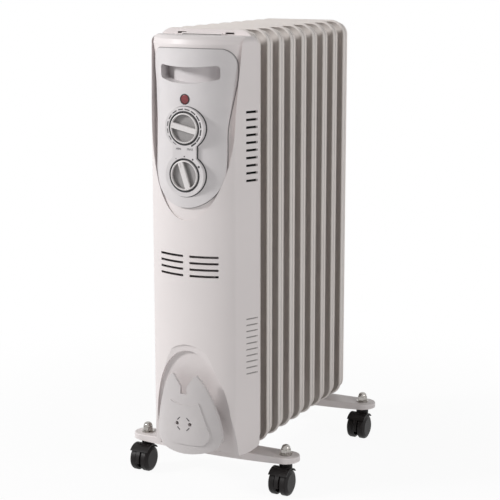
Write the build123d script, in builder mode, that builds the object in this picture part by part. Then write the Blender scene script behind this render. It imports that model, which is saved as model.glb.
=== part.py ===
"""Oil filled radiator heater: nine welded steel fins on two castor feet, with a control box at the front.

Millimetres. +Z is up, +Y runs from the control box to the last fin, and the origin is on the floor,
under the middle of the heater.
"""

import os
from math import atan, cos, degrees, radians, sin, sqrt

from build123d import *

# Driving dimensions: the fins
fin_count = 9
fin_pitch = 35.4
fin_width = 145.0
fin_height = 567.0
fin_lift = 4.0
fin_corner_r = 22.0
fin_lip = 20.0
fin_toe_in = 5.0
fin_hem = 1.2
sheet = 1.0
web_depth = 9.0
web_inset = 16.0
fold_r = 2.5
channel_width = 92.0
channel_bar = 30.0
channel_proud = 6.0
channel_draft = 25.0
channel_corner_r = 16.0
header_rise = 48.0
collar_r = 20.0
collar_wall = 2.0
collar_proud = 6.0
filler_r = 5.0

# Driving dimensions: the control box
cover_depth = 58.0
cover_rear_half = 78.5
cover_corner_half = 62.0
cover_side_depth = 36.3
cover_corner_r = 9.0
cover_edge_r = 14.0
cover_top_r = 9.0
cover_wall = 2.0
cover_gap = 2.0
cover_lift = 3.0
cover_drop = 8.0
back_sheet = 1.2
clip_half = 28.5
nose_drop = 237.0
nose_half = 62.0
nose_top_half = 67.5
nose_rise = 135.0
seam_drop = 4.0
nose_chord = 66.0
nose_profile = ((0.333, 0.1), (0.667, 0.44), (0.89, 0.79), (1.0, 1.0))
arch_half = 66.0
arch_straight = 34.0
arch_height = 152.0
arch_depth = 30.0
arch_lip = 6.0
arch_step = 4.0
arch_band = 9.0

# Driving dimensions: the control panel, the knobs and the lamp
panel_top_drop = 16.0
panel_bulge_drop = 60.0
panel_waist_drop = 114.0
panel_low_drop = 166.0
panel_bottom_drop = 220.0
panel_bulge_half = 59.0
panel_waist_half = 51.5
panel_low_half = 51.5
panel_thick = 3.0
panel_rim = 5.5
window_drop = 26.0
panel_gap = 0.3
grip_top_drop = 36.0
grip_opening = 17.5
grip_half = 43.5
grip_corner_r = 4.5
grip_top_sag = 2.5
grip_low_sag = 6.0
grip_depth = 16.0
grip_wall = 1.6
lamp_drop = 79.5
lens_r = 6.0
thermostat_drop = 116.5
control_spacing = 61.0
plateau_r = 28.0
plateau_waist = 17.0
plateau_proud = 2.0
knob_r = 20.5
knob_height = 11.0
knob_well = 9.4
knob_well_gap = 1.0
well_wall = 2.0
knob_hollow_r = 9.0
knob_hollow = 3.0
knob_gap = 0.5
grip_bar = 8.5
pocket_depth = 5.5
shaft_r = 3.0
bush_r = 5.0
running = 0.05
clearance = 0.3

# Driving dimensions: the vents
front_vent_drop = 297.4
side_vent_drop = 141.0
louvre_rise = 148.5
front_vent_rows = 4
front_vent_pitch = 8.6
front_vent_inner = 4.5
front_vent_outer = 43.0
side_vent_rows = 10
side_vent_pitch = 9.9
side_vent_length = 17.5
side_vent_setback = 2.8
vent_height = 3.2
louvre_pitch = 8.3
louvre_height = 1.8
louvre_depth = 1.0

# Driving dimensions: the cord hook
hook_proud = 12.0
hook_rise = 4.5
hook_height = 108.5
hook_slot_depth = 26.0
plug_rise = 46.3
hook_bow_r = 78.0
hook_thick = 4.0
hook_half = 48.6
hook_horn = 17.5
hook_slot = 9.5
hook_step = 1.2
hook_neck_width = 46.0
hook_neck_height = 44.0
plug_pin_r = 2.6
plug_pin_spacing = 19.0
plug_pin_depth = 19.5

# Driving dimensions: the feet and the castors
foot_lift = 12.0
foot_half = 128.0
foot_width = 34.0
foot_sheet = 2.0
foot_end_depth = 7.0
foot_mid_depth = 12.0
foot_offset = 10.0
track_half = 108.6
stud_r = 4.0
rod_r = 3.0
wheel_r = 18.0
wheel_width = 11.0
wheel_gap = 7.0
wheel_trail = 12.0
wheel_rim = 3.2
wheel_face = 2.4
axle_r = 2.5
hood_gap = 0.8
hood_wall = 1.6
hood_skirt = 13.0
hood_rise = 5.0
hood_neck_r = 9.0
washer_thick = 1.5
nut_flats = 13.0
nut_height = 6.5

# Driving dimensions: the pieces inside the box
boss_inset = 26.0
boss_drop = 30.0
cutout_rise = 234.0
terminal_rise = 104.0

# Places worked out from the driving dimensions
hood_top_z = 2 * wheel_r + hood_rise
foot_top_z = hood_top_z + foot_lift
fin_bottom_z = foot_top_z + fin_lift
cover_bottom_z = fin_bottom_z + cover_lift
cover_top_z = fin_bottom_z + fin_height - cover_drop
nose_bottom_z = cover_top_z - nose_drop
nose_sections = (
    (nose_bottom_z - 10, 2.0, 22.0),
    (nose_bottom_z + 95, 3.0, 31.0),
    (cover_top_z - 62, 4.0, 37.0),
    (cover_top_z - 32, 4.0, 35.0),
    (cover_top_z - 10, 4.0, 30.5),
    (cover_top_z - 4, 6.0, 31.0),
    (cover_top_z + 0.5, 12.0, 32.0),
)
seam_z = nose_bottom_z - seam_drop
arch_mid_z = cover_bottom_z + arch_straight
arch_top_z = cover_bottom_z + arch_height
panel_top_z = cover_top_z - panel_top_drop
panel_bulge_z = cover_top_z - panel_bulge_drop
panel_waist_z = cover_top_z - panel_waist_drop
panel_low_z = cover_top_z - panel_low_drop
panel_bottom_z = cover_top_z - panel_bottom_drop
window_half = panel_low_half - panel_rim
window_top_z = cover_top_z - window_drop
grip_top_z = cover_top_z - grip_top_drop
grip_low_z = grip_top_z - grip_opening
lamp_z = cover_top_z - lamp_drop
thermostat_z = cover_top_z - thermostat_drop
switch_z = thermostat_z - control_spacing
front_vent_z = cover_top_z - front_vent_drop
side_vent_z = cover_top_z - side_vent_drop
louvre_z = cover_bottom_z + louvre_rise
hook_bottom_z = cover_bottom_z + hook_rise
hook_top_z = hook_bottom_z + hook_height
hook_slot_z = hook_top_z - hook_slot_depth
plug_z = cover_bottom_z + plug_rise
boss_low_z = cover_bottom_z + boss_inset
boss_high_z = cover_top_z - boss_drop
cutout_z = cover_bottom_z + cutout_rise
terminal_z = cover_bottom_z + terminal_rise
front_reach = hook_proud + cover_depth + cover_gap
total_length = front_reach + (fin_count - 1) * fin_pitch + fin_lip
front_y = -total_length / 2
fin_1_y = front_y + front_reach
cover_rear_y = fin_1_y - cover_gap
cover_front_y = cover_rear_y - cover_depth
cover_corner_y = cover_rear_y - cover_side_depth
fin_top_z = fin_bottom_z + fin_height
fin_mid_z = (fin_bottom_z + fin_top_z) / 2
header_low_z = fin_bottom_z + header_rise
header_high_z = fin_top_z - header_rise
panel_front_y = cover_front_y - plateau_proud
far = 200.0

os.makedirs("parts", exist_ok=True)


def save(part, name):
    """Label one finished piece and write it as a STEP file of the same name."""
    part.label = name
    export_step(part, f"parts/{name}.step")


def fin_front_y(index):
    """The front fold of a fin, counted from 1 at the control box."""
    return fin_1_y + (index - 1) * fin_pitch


def upright(y):
    """A plane across the heater at y, facing the rear, with x to the left and z up."""
    return Plane((0, y, 0), x_dir=(-1, 0, 0), z_dir=(0, 1, 0))


def facing(y):
    """A plane across the heater at y, facing the front, with x to the right and z up."""
    return Plane((0, y, 0), x_dir=(1, 0, 0), z_dir=(0, -1, 0))


def bend(x, z, in_x, in_z):
    """One rounded corner of a fin's edge, drawn into the current line at the sharp corner x, z."""
    near = fin_corner_r * (1 - 1 / sqrt(2))
    ends = [(x + in_x * fin_corner_r, z), (x, z + in_z * fin_corner_r)]
    ThreePointArc(ends[0], (x + in_x * near, z + in_z * near), ends[1])


# Fins
def make_fin(index):
    """One fin: a dished front sheet with a folded, hemmed edge, welded round an oil channel."""
    y0 = fin_front_y(index)
    half = fin_width / 2
    web_half = half - web_inset
    cove_r = ((web_inset - fold_r) ** 2 + web_depth**2) / (2 * web_depth)
    cove_turn = atan((web_inset - fold_r) / (cove_r - web_depth)) / 2
    cove_mid = (web_half + cove_r * sin(cove_turn), y0 + web_depth - cove_r + cove_r * cos(cove_turn))
    lip_rear = half - fin_toe_in
    slant = 1 / sqrt(2)
    channel_height = header_high_z - header_low_z + 2 * (collar_r + collar_wall)
    web_mid_y = y0 + web_depth + sheet
    last = index == fin_count

    with BuildPart() as fin:
        with BuildLine(facing(y0)) as edge:
            Line((half, fin_mid_z), (half, fin_top_z - fin_corner_r))
            bend(half, fin_top_z, -1, -1)
            Line((half - fin_corner_r, fin_top_z), (fin_corner_r - half, fin_top_z))
            bend(-half, fin_top_z, 1, -1)
            Line((-half, fin_top_z - fin_corner_r), (-half, fin_bottom_z + fin_corner_r))
            bend(-half, fin_bottom_z, 1, 1)
            Line((fin_corner_r - half, fin_bottom_z), (half - fin_corner_r, fin_bottom_z))
            bend(half, fin_bottom_z, -1, 1)
            Line((half, fin_bottom_z + fin_corner_r), (half, fin_mid_z))
        with BuildSketch(Plane.XY.offset(fin_mid_z)):
            with BuildLine():
                ThreePointArc((web_half, y0 + web_depth), cove_mid, (half - fold_r, y0))
                ThreePointArc(
                    (half - fold_r, y0),
                    (half - fold_r * (1 - slant), y0 + fold_r * (1 - slant)),
                    (half, y0 + fold_r),
                )
                Polyline(
                    (half, y0 + fold_r),
                    (lip_rear, y0 + fin_lip - 2 * sheet),
                    (lip_rear + fin_hem, y0 + fin_lip - sheet),
                    (lip_rear + fin_hem, y0 + fin_lip),
                    (lip_rear - sheet, y0 + fin_lip),
                    (half - sheet, y0 + fold_r + sheet),
                    (half - fold_r - sheet, y0 + fold_r + sheet),
                    (cove_mid[0] - sheet, cove_mid[1] + sheet),
                    (web_half, y0 + web_depth + 2 * sheet),
                    (web_half, y0 + web_depth),
                )
            make_face()
        sweep(path=edge.line)
        with BuildSketch(upright(y0 + web_depth)):
            with Locations((0, fin_mid_z)):
                RectangleRounded(2 * web_half, fin_height - 2 * web_inset, fin_corner_r - web_inset)
        extrude(amount=2 * sheet)
        for plane in (facing(web_mid_y), upright(web_mid_y)):
            with BuildSketch(plane):
                with Locations((0, fin_mid_z)):
                    RectangleRounded(channel_width, channel_height, channel_corner_r)
                    RectangleRounded(
                        channel_width - 2 * channel_bar,
                        channel_height - 4 * collar_r,
                        channel_corner_r / 2,
                        mode=Mode.SUBTRACT,
                    )
            extrude(amount=sheet + channel_proud, taper=channel_draft)
        for plane in (facing(web_mid_y), upright(web_mid_y)):
            with BuildSketch(plane):
                with Locations((0, fin_mid_z)):
                    Rectangle(channel_width - 4 * sheet, channel_height - 4 * sheet)
                    Rectangle(
                        channel_width - 2 * channel_bar + 4 * sheet,
                        channel_height - 4 * collar_r + 4 * sheet,
                        mode=Mode.SUBTRACT,
                    )
            extrude(amount=channel_proud, taper=channel_draft, mode=Mode.SUBTRACT)
        for z in (header_low_z, header_high_z):
            with BuildSketch(upright(y0 - collar_proud)):
                with Locations((0, z)):
                    Circle(collar_r)
            extrude(amount=fin_lip + collar_proud - 2 if last else fin_pitch)
        bore_start = web_mid_y if index == 1 else y0 - collar_proud
        with BuildSketch(upright(y0 - collar_proud)):
            with Locations((0, header_low_z)):
                Circle(collar_r - collar_wall)
        extrude(amount=fin_lip + collar_proud - 2 - collar_wall if last else fin_pitch, mode=Mode.SUBTRACT)
        with BuildSketch(upright(bore_start)):
            with Locations((0, header_high_z)):
                Circle(collar_r - collar_wall)
        bore_end = y0 + fin_lip - 2 - collar_wall if last else y0 - collar_proud + fin_pitch
        extrude(amount=bore_end - bore_start, mode=Mode.SUBTRACT)
        if index == 1:
            with BuildSketch(upright(y0 - collar_proud)):
                with Locations((0, header_high_z)):
                    Circle(filler_r + clearance)
            extrude(amount=bore_start - y0 + collar_proud, mode=Mode.SUBTRACT)
    save(fin.part, f"fin_{index}")


for number in range(1, fin_count + 1):
    make_fin(number)


# Control box: the outer form and, drawn again smaller, the hollow inside it
def nose_block(grow):
    """Everything behind the domed control face, with that face moved forward by grow."""
    with BuildPart() as block:
        for z, recess, sag in nose_sections:
            y = cover_front_y + recess - grow
            half_profile = [(nose_chord * across, y + sag * back) for across, back in nose_profile]
            mirrored = [(-x, back_y) for x, back_y in reversed(half_profile)]
            with BuildSketch(Plane.XY.offset(z)):
                with BuildLine():
                    Spline(*mirrored, (0, y), *half_profile)
                    Polyline(
                        mirrored[0],
                        (-nose_chord - 20, y + sag + 20),
                        (-nose_chord - 20, y + far),
                        (nose_chord + 20, y + far),
                        (nose_chord + 20, y + sag + 20),
                        half_profile[-1],
                    )
                make_face()
        loft(ruled=True)
    return block.part


def dish_cut(inset):
    """The material taken off the upper front of the box, down to the domed control face."""
    side = nose_half + inset
    top = nose_top_half + inset
    middle_z = nose_bottom_z + nose_rise
    with BuildPart() as dish:
        with BuildSketch(facing(cover_front_y - 40)):
            with Locations((0, middle_z)):
                Ellipse(side, nose_rise + inset)
            Polygon(
                (-side, middle_z),
                (side, middle_z),
                (top, cover_top_z + 5),
                (-top, cover_top_z + 5),
                align=None,
            )
        extrude(amount=-130)
        add(nose_block(-inset), mode=Mode.SUBTRACT)
    return dish.part


def arch_floor_y(z):
    """The sloping floor of the cord recess at height z."""
    rise = (arch_top_z - z) / (arch_top_z - cover_bottom_z)
    return cover_front_y + arch_lip + (arch_depth - arch_lip) * rise


def arch_cut(inset, band, step):
    """The arched cord recess at the foot of the box, its edge moved in by band and its floor forward by step."""
    top = arch_top_z + 40
    half = arch_half + inset - band
    with BuildPart() as arch:
        with BuildSketch(facing(cover_front_y - 40)):
            with Locations((0, arch_mid_z)):
                Ellipse(half, arch_top_z - arch_mid_z + inset - band)
            with Locations((0, arch_mid_z / 2)):
                Rectangle(2 * half, arch_mid_z)
        extrude(amount=-130)
        with BuildSketch(Plane.YZ):
            Polygon(
                (cover_front_y - 60, 0),
                (arch_floor_y(0) + inset - step, 0),
                (arch_floor_y(top) + inset - step, top),
                (cover_front_y - 60, top),
                align=None,
            )
        extrude(amount=far, both=True, mode=Mode.INTERSECT)
    return arch.part


def box_form(inset):
    """The solid form of the control box, every face moved inward by inset and the rear left open."""
    rear_y = cover_rear_y + inset
    corner = (cover_corner_half - inset, cover_corner_y + inset)
    with BuildPart() as form:
        with BuildSketch(Plane.XY.offset(cover_bottom_z + inset)) as plan:
            with BuildLine():
                Line((cover_rear_half - inset, rear_y), corner)
                ThreePointArc(corner, (0, cover_front_y + inset), (-corner[0], corner[1]))
                Line((-corner[0], corner[1]), (inset - cover_rear_half, rear_y))
                Line((inset - cover_rear_half, rear_y), (cover_rear_half - inset, rear_y))
            make_face()
            fillet(plan.vertices().sort_by(Axis.Y)[:2], cover_corner_r - inset)
        extrude(amount=cover_top_z - cover_bottom_z - 2 * inset)
        top_edges = form.faces().sort_by(Axis.Z)[-1].edges().sort_by(Axis.Y)
        fillet(top_edges[:-1], cover_top_r - inset)
        with BuildSketch(facing(cover_front_y - 40)):
            with Locations((0, (cover_top_z + cover_bottom_z) / 2)):
                RectangleRounded(
                    2 * (cover_rear_half - inset),
                    cover_top_z - cover_bottom_z - 2 * inset,
                    cover_edge_r - inset,
                )
        extrude(amount=-130, mode=Mode.INTERSECT)
        add(dish_cut(inset), mode=Mode.SUBTRACT)
        add(arch_cut(inset, 0, arch_step), mode=Mode.SUBTRACT)
        add(arch_cut(inset, arch_band, 0), mode=Mode.SUBTRACT)
    return form.part


def grip_mouth(y, grow):
    """The mouth of the hand grip, sagging a little along its lower edge, as a face across the heater at y."""
    top = grip_top_z + grow
    low = grip_low_z - grow
    end = grip_half + grow
    with BuildSketch(facing(y)) as mouth:
        with BuildLine():
            ThreePointArc((-end, top), (0, top - grip_top_sag), (end, top))
            Line((end, top), (end, low))
            ThreePointArc((end, low), (0, low - grip_low_sag), (-end, low))
            Line((-end, low), (-end, top))
        make_face()
        fillet(mouth.vertices(), grip_corner_r + grow)
    return mouth.sketch


control_seat_y = panel_front_y + knob_well
control_face_y = control_seat_y + well_wall
well_r = knob_r + knob_well_gap
control_places = [(0, thermostat_z), (0, switch_z)]
boss_x = 64.0
boss_r = 6.0
boss_length = 22.0
boss_places = [(x, z) for x in (-boss_x, boss_x) for z in (boss_low_z, boss_high_z)]
screw_r = 1.9
screw_head_r = 3.4
gland_x = 30.0
gland_y = cover_rear_y - 13
gland_r = 7.0
gland_bore_r = 4.0
outer_form = box_form(0)
inner_form = box_form(cover_wall)

with BuildPart() as front_cover:
    add(outer_form)
    add(inner_form, mode=Mode.SUBTRACT)
    with BuildSketch(upright(cover_rear_y - boss_length)):
        with Locations(boss_places):
            Circle(boss_r)
    extrude(amount=boss_length)
    add(outer_form, mode=Mode.INTERSECT)
    with BuildSketch(facing(cover_rear_y)):
        with Locations((0, panel_low_z)):
            Circle(window_half)
        with Locations((0, (panel_low_z + window_top_z) / 2)):
            Rectangle(2 * window_half, window_top_z - panel_low_z)
    extrude(amount=cover_depth + 10, mode=Mode.SUBTRACT)
    with BuildSketch(upright(cover_rear_y - boss_length + 4)):
        with Locations(boss_places):
            Circle(screw_r + 0.1)
    extrude(amount=boss_length, mode=Mode.SUBTRACT)
    vent_width = front_vent_outer - front_vent_inner
    vent_x = (front_vent_outer + front_vent_inner) / 2
    with BuildSketch(facing(cover_front_y - 5)):
        with Locations((0, front_vent_z)):
            with GridLocations(2 * vent_x, front_vent_pitch, 2, front_vent_rows):
                Rectangle(vent_width, vent_height)
    extrude(amount=-21, mode=Mode.SUBTRACT)
    vent_y = cover_rear_y - side_vent_setback - side_vent_length / 2
    with BuildSketch(Plane.XY.offset(cover_bottom_z - 5)):
        with Locations((gland_x, gland_y)):
            Circle(gland_r + 0.1)
    extrude(amount=12, mode=Mode.SUBTRACT)
with BuildPart() as side_slots:
    with BuildSketch(Plane.YZ):
        with Locations((vent_y, side_vent_z)):
            with GridLocations(1, side_vent_pitch, 1, side_vent_rows):
                Rectangle(side_vent_length, vent_height)
    extrude(amount=cover_rear_half + 5, both=True)
    with BuildSketch(Plane.YZ):
        with Locations((vent_y, fin_mid_z)):
            Rectangle(side_vent_length + 10, fin_height + 50)
    extrude(amount=cover_corner_half - cover_wall - 4, both=True, mode=Mode.SUBTRACT)
with BuildPart() as side_louvres:
    with BuildSketch(Plane.YZ):
        with Locations((vent_y, louvre_z)):
            with GridLocations(1, louvre_pitch, 1, side_vent_rows):
                Rectangle(side_vent_length, louvre_height)
    extrude(amount=cover_rear_half + 5, both=True)
    add(box_form(louvre_depth), mode=Mode.SUBTRACT)
with BuildPart() as vented_cover:
    add(front_cover.part)
    add(side_slots.part, mode=Mode.SUBTRACT)
    add(side_louvres.part, mode=Mode.SUBTRACT)
with BuildPart() as below_seam:
    with BuildSketch(Plane.XY.offset(seam_z)):
        Rectangle(far, 4 * far)
    extrude(amount=-cover_top_z)
with BuildPart() as front_cover_lower:
    add(vented_cover.part)
    add(below_seam.part, mode=Mode.INTERSECT)
save(front_cover_lower.part, "front_cover")
with BuildPart() as control_housing:
    add(vented_cover.part)
    add(below_seam.part, mode=Mode.SUBTRACT)
save(control_housing.part, "control_housing")

with BuildPart() as back_plate:
    with BuildSketch(upright(cover_rear_y)):
        with Locations((0, (cover_bottom_z + cover_top_z) / 2)):
            RectangleRounded(2 * (cover_rear_half - 1.5), cover_top_z - cover_bottom_z - 3, cover_edge_r - 1.5)
        with Locations((0, fin_mid_z + 3)):
            RectangleRounded(fin_width - 4, fin_height - 8, fin_corner_r - 2)
        with Locations((0, cover_top_z + 2)):
            with GridLocations(2 * clip_half + 14, 1, 2, 1):
                Rectangle(13, 2.4, mode=Mode.SUBTRACT)
        with Locations((0, header_low_z), (0, header_high_z)):
            Circle(collar_r + 0.5, mode=Mode.SUBTRACT)
        with Locations(boss_places):
            Circle(screw_r + 0.2, mode=Mode.SUBTRACT)
    extrude(amount=back_sheet)
    with BuildSketch(Plane.XY.offset(cover_top_z)):
        with Locations((0, cover_rear_y - 5)):
            Rectangle(2 * clip_half, 10 + 2 * back_sheet)
    extrude(amount=back_sheet)
save(back_plate.part, "back_plate")

with BuildPart() as cover_screws:
    with BuildSketch(upright(cover_rear_y + back_sheet)):
        with Locations(boss_places):
            Circle(screw_head_r)
    extrude(amount=2)
    with BuildSketch(facing(cover_rear_y + back_sheet)):
        with Locations(boss_places):
            Circle(screw_r)
    extrude(amount=boss_length - 6)
save(cover_screws.part, "cover_screws")

# Control panel, lamp, thermostat and switch
with BuildPart() as grip_pocket:
    extrude(grip_mouth(cover_front_y - 20, grip_wall), amount=-80)
    add(nose_block(panel_gap + panel_thick), mode=Mode.INTERSECT)
    add(nose_block(-grip_depth - grip_wall), mode=Mode.SUBTRACT)

with BuildPart() as grip_hollow:
    extrude(grip_mouth(cover_front_y - 20, 0), amount=-80)
    add(nose_block(-grip_depth), mode=Mode.SUBTRACT)

with BuildPart() as control_panel:
    with BuildSketch(facing(cover_front_y - 20)):
        with BuildLine():
            ThreePointArc((-46, panel_top_z), (0, panel_top_z + 1), (46, panel_top_z))
            for way in (-1, 1):
                Spline(
                    (way * 46, panel_top_z),
                    (way * panel_bulge_half, panel_bulge_z),
                    (way * panel_waist_half, panel_waist_z),
                    (way * panel_low_half, panel_low_z),
                    tangents=((way, -0.25), (0, -1)),
                )
            ThreePointArc((-panel_low_half, panel_low_z), (0, panel_bottom_z), (panel_low_half, panel_low_z))
        make_face()
    extrude(amount=-90)
    add(nose_block(panel_gap + panel_thick), mode=Mode.INTERSECT)
    with BuildSketch(facing(panel_front_y)):
        with Locations(control_places):
            Circle(plateau_r)
        with Locations((0, (thermostat_z + switch_z) / 2)):
            Rectangle(2 * plateau_waist, thermostat_z - switch_z)
    extrude(amount=-20)
    add(nose_block(panel_gap), mode=Mode.SUBTRACT)
    with BuildSketch(facing(control_face_y)):
        with Locations(control_places):
            Circle(well_r + well_wall)
    extrude(amount=control_face_y - panel_front_y)
    add(grip_pocket.part)
    add(grip_hollow.part, mode=Mode.SUBTRACT)
    with BuildSketch(facing(cover_front_y - 20)):
        with Locations(control_places):
            Circle(bush_r + clearance)
        with Locations((0, lamp_z)):
            Circle(lens_r + 0.1)
    extrude(amount=-40, mode=Mode.SUBTRACT)
    with BuildSketch(facing(control_seat_y)):
        with Locations(control_places):
            Circle(well_r)
    extrude(amount=20, mode=Mode.SUBTRACT)
save(control_panel.part, "control_panel")

lens_rear_y = cover_front_y + 6
lens_front_y = cover_front_y + 0.2
with BuildPart() as indicator_lens:
    with BuildSketch(facing(lens_rear_y)):
        with Locations((0, lamp_z)):
            Circle(lens_r)
    extrude(amount=lens_rear_y - lens_front_y)
    fillet(indicator_lens.edges().sort_by(Axis.Y)[0], 1.5)
save(indicator_lens.part, "indicator_lens")

with BuildPart() as indicator_lamp:
    with BuildSketch(upright(lens_rear_y)):
        with Locations((0, lamp_z)):
            Circle(lens_r - 0.8)
    extrude(amount=18)
    with BuildSketch(upright(lens_rear_y + 18)):
        with Locations((-2.5, lamp_z), (2.5, lamp_z)):
            Rectangle(0.8, 4.8)
    extrude(amount=7)
save(indicator_lamp.part, "indicator_lamp")

knob_rear_y = control_seat_y - knob_gap
knob_front_y = knob_rear_y - knob_height
shaft_front_y = knob_rear_y - 6.3
shaft_rear_y = control_face_y + 11


def make_dial(name, z, pointer, body_width, body_height, body_depth):
    """One control: a knob with a finger bar, its shaft and the switching body behind the panel."""
    with BuildPart() as knob:
        with BuildSketch(facing(knob_rear_y)):
            with Locations((0, z)):
                Circle(knob_r)
        extrude(amount=knob_height, taper=5)
        fillet(knob.edges().sort_by(Axis.Y)[0], 1.2)
        with BuildSketch(facing(knob_front_y + pocket_depth)):
            with Locations(Location((0, z, 0), (0, 0, pointer))):
                Circle(knob_r - 3.2)
                Rectangle(grip_bar, 2 * knob_r, mode=Mode.SUBTRACT)
        extrude(amount=pocket_depth + 2, taper=-8, mode=Mode.SUBTRACT)
        with BuildSketch(facing(knob_front_y + 0.6)):
            with Locations(Location((0, z, 0), (0, 0, pointer))):
                with Locations((0, knob_r - 6.6)):
                    Rectangle(1.6, 7)
        extrude(amount=2, mode=Mode.SUBTRACT)
        with BuildSketch(facing(knob_rear_y)):
            with Locations((0, z)):
                Circle(shaft_r + 0.02)
        extrude(amount=6.4, mode=Mode.SUBTRACT)
        with BuildSketch(facing(knob_rear_y)):
            with Locations((0, z)):
                Circle(knob_hollow_r)
        extrude(amount=knob_hollow, mode=Mode.SUBTRACT)
    save(knob.part, f"{name}_knob")

    with BuildPart() as shaft:
        with BuildSketch(facing(shaft_rear_y)):
            with Locations((0, z)):
                Circle(shaft_r)
        extrude(amount=shaft_rear_y - shaft_front_y)
    save(shaft.part, f"{name}_shaft")

    with BuildPart() as body:
        with BuildSketch(upright(control_face_y)):
            with Locations((0, z)):
                RectangleRounded(body_width, body_height, 3)
        extrude(amount=body_depth)
        with BuildSketch(facing(control_face_y)):
            with Locations((0, z)):
                Circle(bush_r)
        extrude(amount=control_face_y - control_seat_y + 3)
        with BuildSketch(upright(control_face_y + body_depth)):
            with GridLocations(body_width / 3, 1, 3, 1):
                with Locations((0, z)):
                    Rectangle(0.8, 6.3)
        extrude(amount=6)
        with BuildSketch(facing(shaft_rear_y + 0.5)):
            with Locations((0, z)):
                Circle(shaft_r + running)
        extrude(amount=60, mode=Mode.SUBTRACT)
    save(body.part, f"{name}_body")


make_dial("thermostat", thermostat_z, 78, 34, 30, 20)
make_dial("switch", switch_z, 18, 36, 28, 16)

with BuildPart() as control_nuts:
    with BuildSketch(facing(control_seat_y)):
        with Locations(control_places):
            RegularPolygon(7.4, 6)
            Circle(bush_r + 0.1, mode=Mode.SUBTRACT)
    extrude(amount=2.4)
save(control_nuts.part, "control_nuts")

# Heating elements and electrical pieces inside the box
collar_front_y = fin_1_y - collar_proud
flange_thick = 5.0
tube_r = 4.0
tube_space = 8.0
tube_front_y = collar_front_y - flange_thick - 12
tube_rear_y = fin_front_y(fin_count) - tube_space
tube_places = [(x, header_low_z + z) for x in (-tube_space, tube_space) for z in (-tube_space, tube_space)]

with BuildPart() as heating_elements:
    for x in (-tube_space, tube_space):
        side_plane = Plane((x, 0, header_low_z), x_dir=(0, 1, 0), z_dir=(1, 0, 0))
        with BuildLine(side_plane) as hairpin:
            Line((tube_front_y, -tube_space), (tube_rear_y, -tube_space))
            ThreePointArc(
                (tube_rear_y, -tube_space), (tube_rear_y + tube_space, 0), (tube_rear_y, tube_space)
            )
            Line((tube_rear_y, tube_space), (tube_front_y, tube_space))
        with BuildSketch(upright(tube_front_y)):
            with Locations((-x, header_low_z - tube_space)):
                Circle(tube_r)
        sweep(path=hairpin.line)
save(heating_elements.part, "heating_elements")

with BuildPart() as element_flange:
    with BuildSketch(facing(collar_front_y)):
        with Locations((0, header_low_z)):
            Circle(collar_r + 4)
        with Locations(tube_places):
            Circle(tube_r + 0.05, mode=Mode.SUBTRACT)
    extrude(amount=flange_thick)
save(element_flange.part, "element_flange")

with BuildPart() as filler_plug:
    with BuildSketch(facing(collar_front_y)):
        with Locations((0, header_high_z)):
            RegularPolygon(9.2, 6)
    extrude(amount=6)
    with BuildSketch(upright(collar_front_y)):
        with Locations((0, header_high_z)):
            Circle(filler_r)
    extrude(amount=12)
save(filler_plug.part, "filler_plug")

with BuildPart() as thermal_cutout:
    with BuildSketch(facing(cover_rear_y)):
        with Locations((28, cutout_z)):
            Circle(8.5)
            Rectangle(30, 9)
    extrude(amount=1)
    with BuildSketch(facing(cover_rear_y)):
        with Locations((28, cutout_z)):
            Circle(8)
    extrude(amount=9)
    with BuildSketch(facing(cover_rear_y - 6)):
        with Locations((22, cutout_z), (34, cutout_z)):
            Rectangle(6.3, 0.8)
    extrude(amount=12)
save(thermal_cutout.part, "thermal_cutout")

with BuildPart() as terminal_block:
    with BuildSketch(facing(cover_rear_y)):
        with Locations((28, terminal_z)):
            Rectangle(44, 18)
    extrude(amount=18)
    with BuildSketch(facing(cover_rear_y - 18)):
        with Locations((28, terminal_z)):
            with GridLocations(14, 1, 3, 1):
                Circle(3)
    extrude(amount=-8, mode=Mode.SUBTRACT)
save(terminal_block.part, "terminal_block")

with BuildPart() as cord_gland:
    with BuildSketch(Plane.XY.offset(cover_bottom_z - 2.5)):
        with Locations((gland_x, gland_y)):
            Circle(gland_r + 2)
    extrude(amount=2.5)
    with BuildSketch(Plane.XY.offset(cover_bottom_z)):
        with Locations((gland_x, gland_y)):
            Circle(gland_r)
    extrude(amount=12)
    with BuildSketch(Plane.XY.offset(cover_bottom_z - 2.5)):
        with Locations((gland_x, gland_y)):
            Circle(gland_bore_r)
    extrude(amount=20, mode=Mode.SUBTRACT)
save(cord_gland.part, "cord_gland")

# Cord hook
with BuildPart() as hook_shield:
    with BuildSketch(facing(front_y - 5)):
        with BuildLine():
            for way in (-1, 1):
                Polyline(
                    (0, hook_slot_z),
                    (way * hook_slot / 2, hook_slot_z),
                    (way * hook_slot / 2, hook_slot_z + 10),
                    (way * (hook_horn - 1.5), hook_top_z),
                    (way * (hook_horn + 1), hook_top_z),
                )
                Spline(
                    (way * (hook_horn + 1), hook_top_z),
                    (way * 0.58 * hook_half, hook_top_z - 13),
                    (way * 0.77 * hook_half, hook_top_z - 34),
                    (way * 0.91 * hook_half, hook_top_z - 56),
                    (way * hook_half, hook_top_z - 80),
                )
                ThreePointArc(
                    (way * hook_half, hook_top_z - 80),
                    (way * 0.94 * hook_half, hook_bottom_z + 14),
                    (way * 0.75 * hook_half, hook_bottom_z + 5),
                )
            ThreePointArc(
                (-0.75 * hook_half, hook_bottom_z + 5), (0, hook_bottom_z), (0.75 * hook_half, hook_bottom_z + 5)
            )
        make_face()
    extrude(amount=-40)
    with BuildSketch(Plane.XY.offset(hook_bottom_z - 20)):
        with Locations((0, front_y + hook_bow_r)):
            Circle(hook_bow_r - hook_step)
            Circle(hook_bow_r - hook_step - hook_thick, mode=Mode.SUBTRACT)
    extrude(amount=hook_top_z - hook_bottom_z + 60, mode=Mode.INTERSECT)

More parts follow.
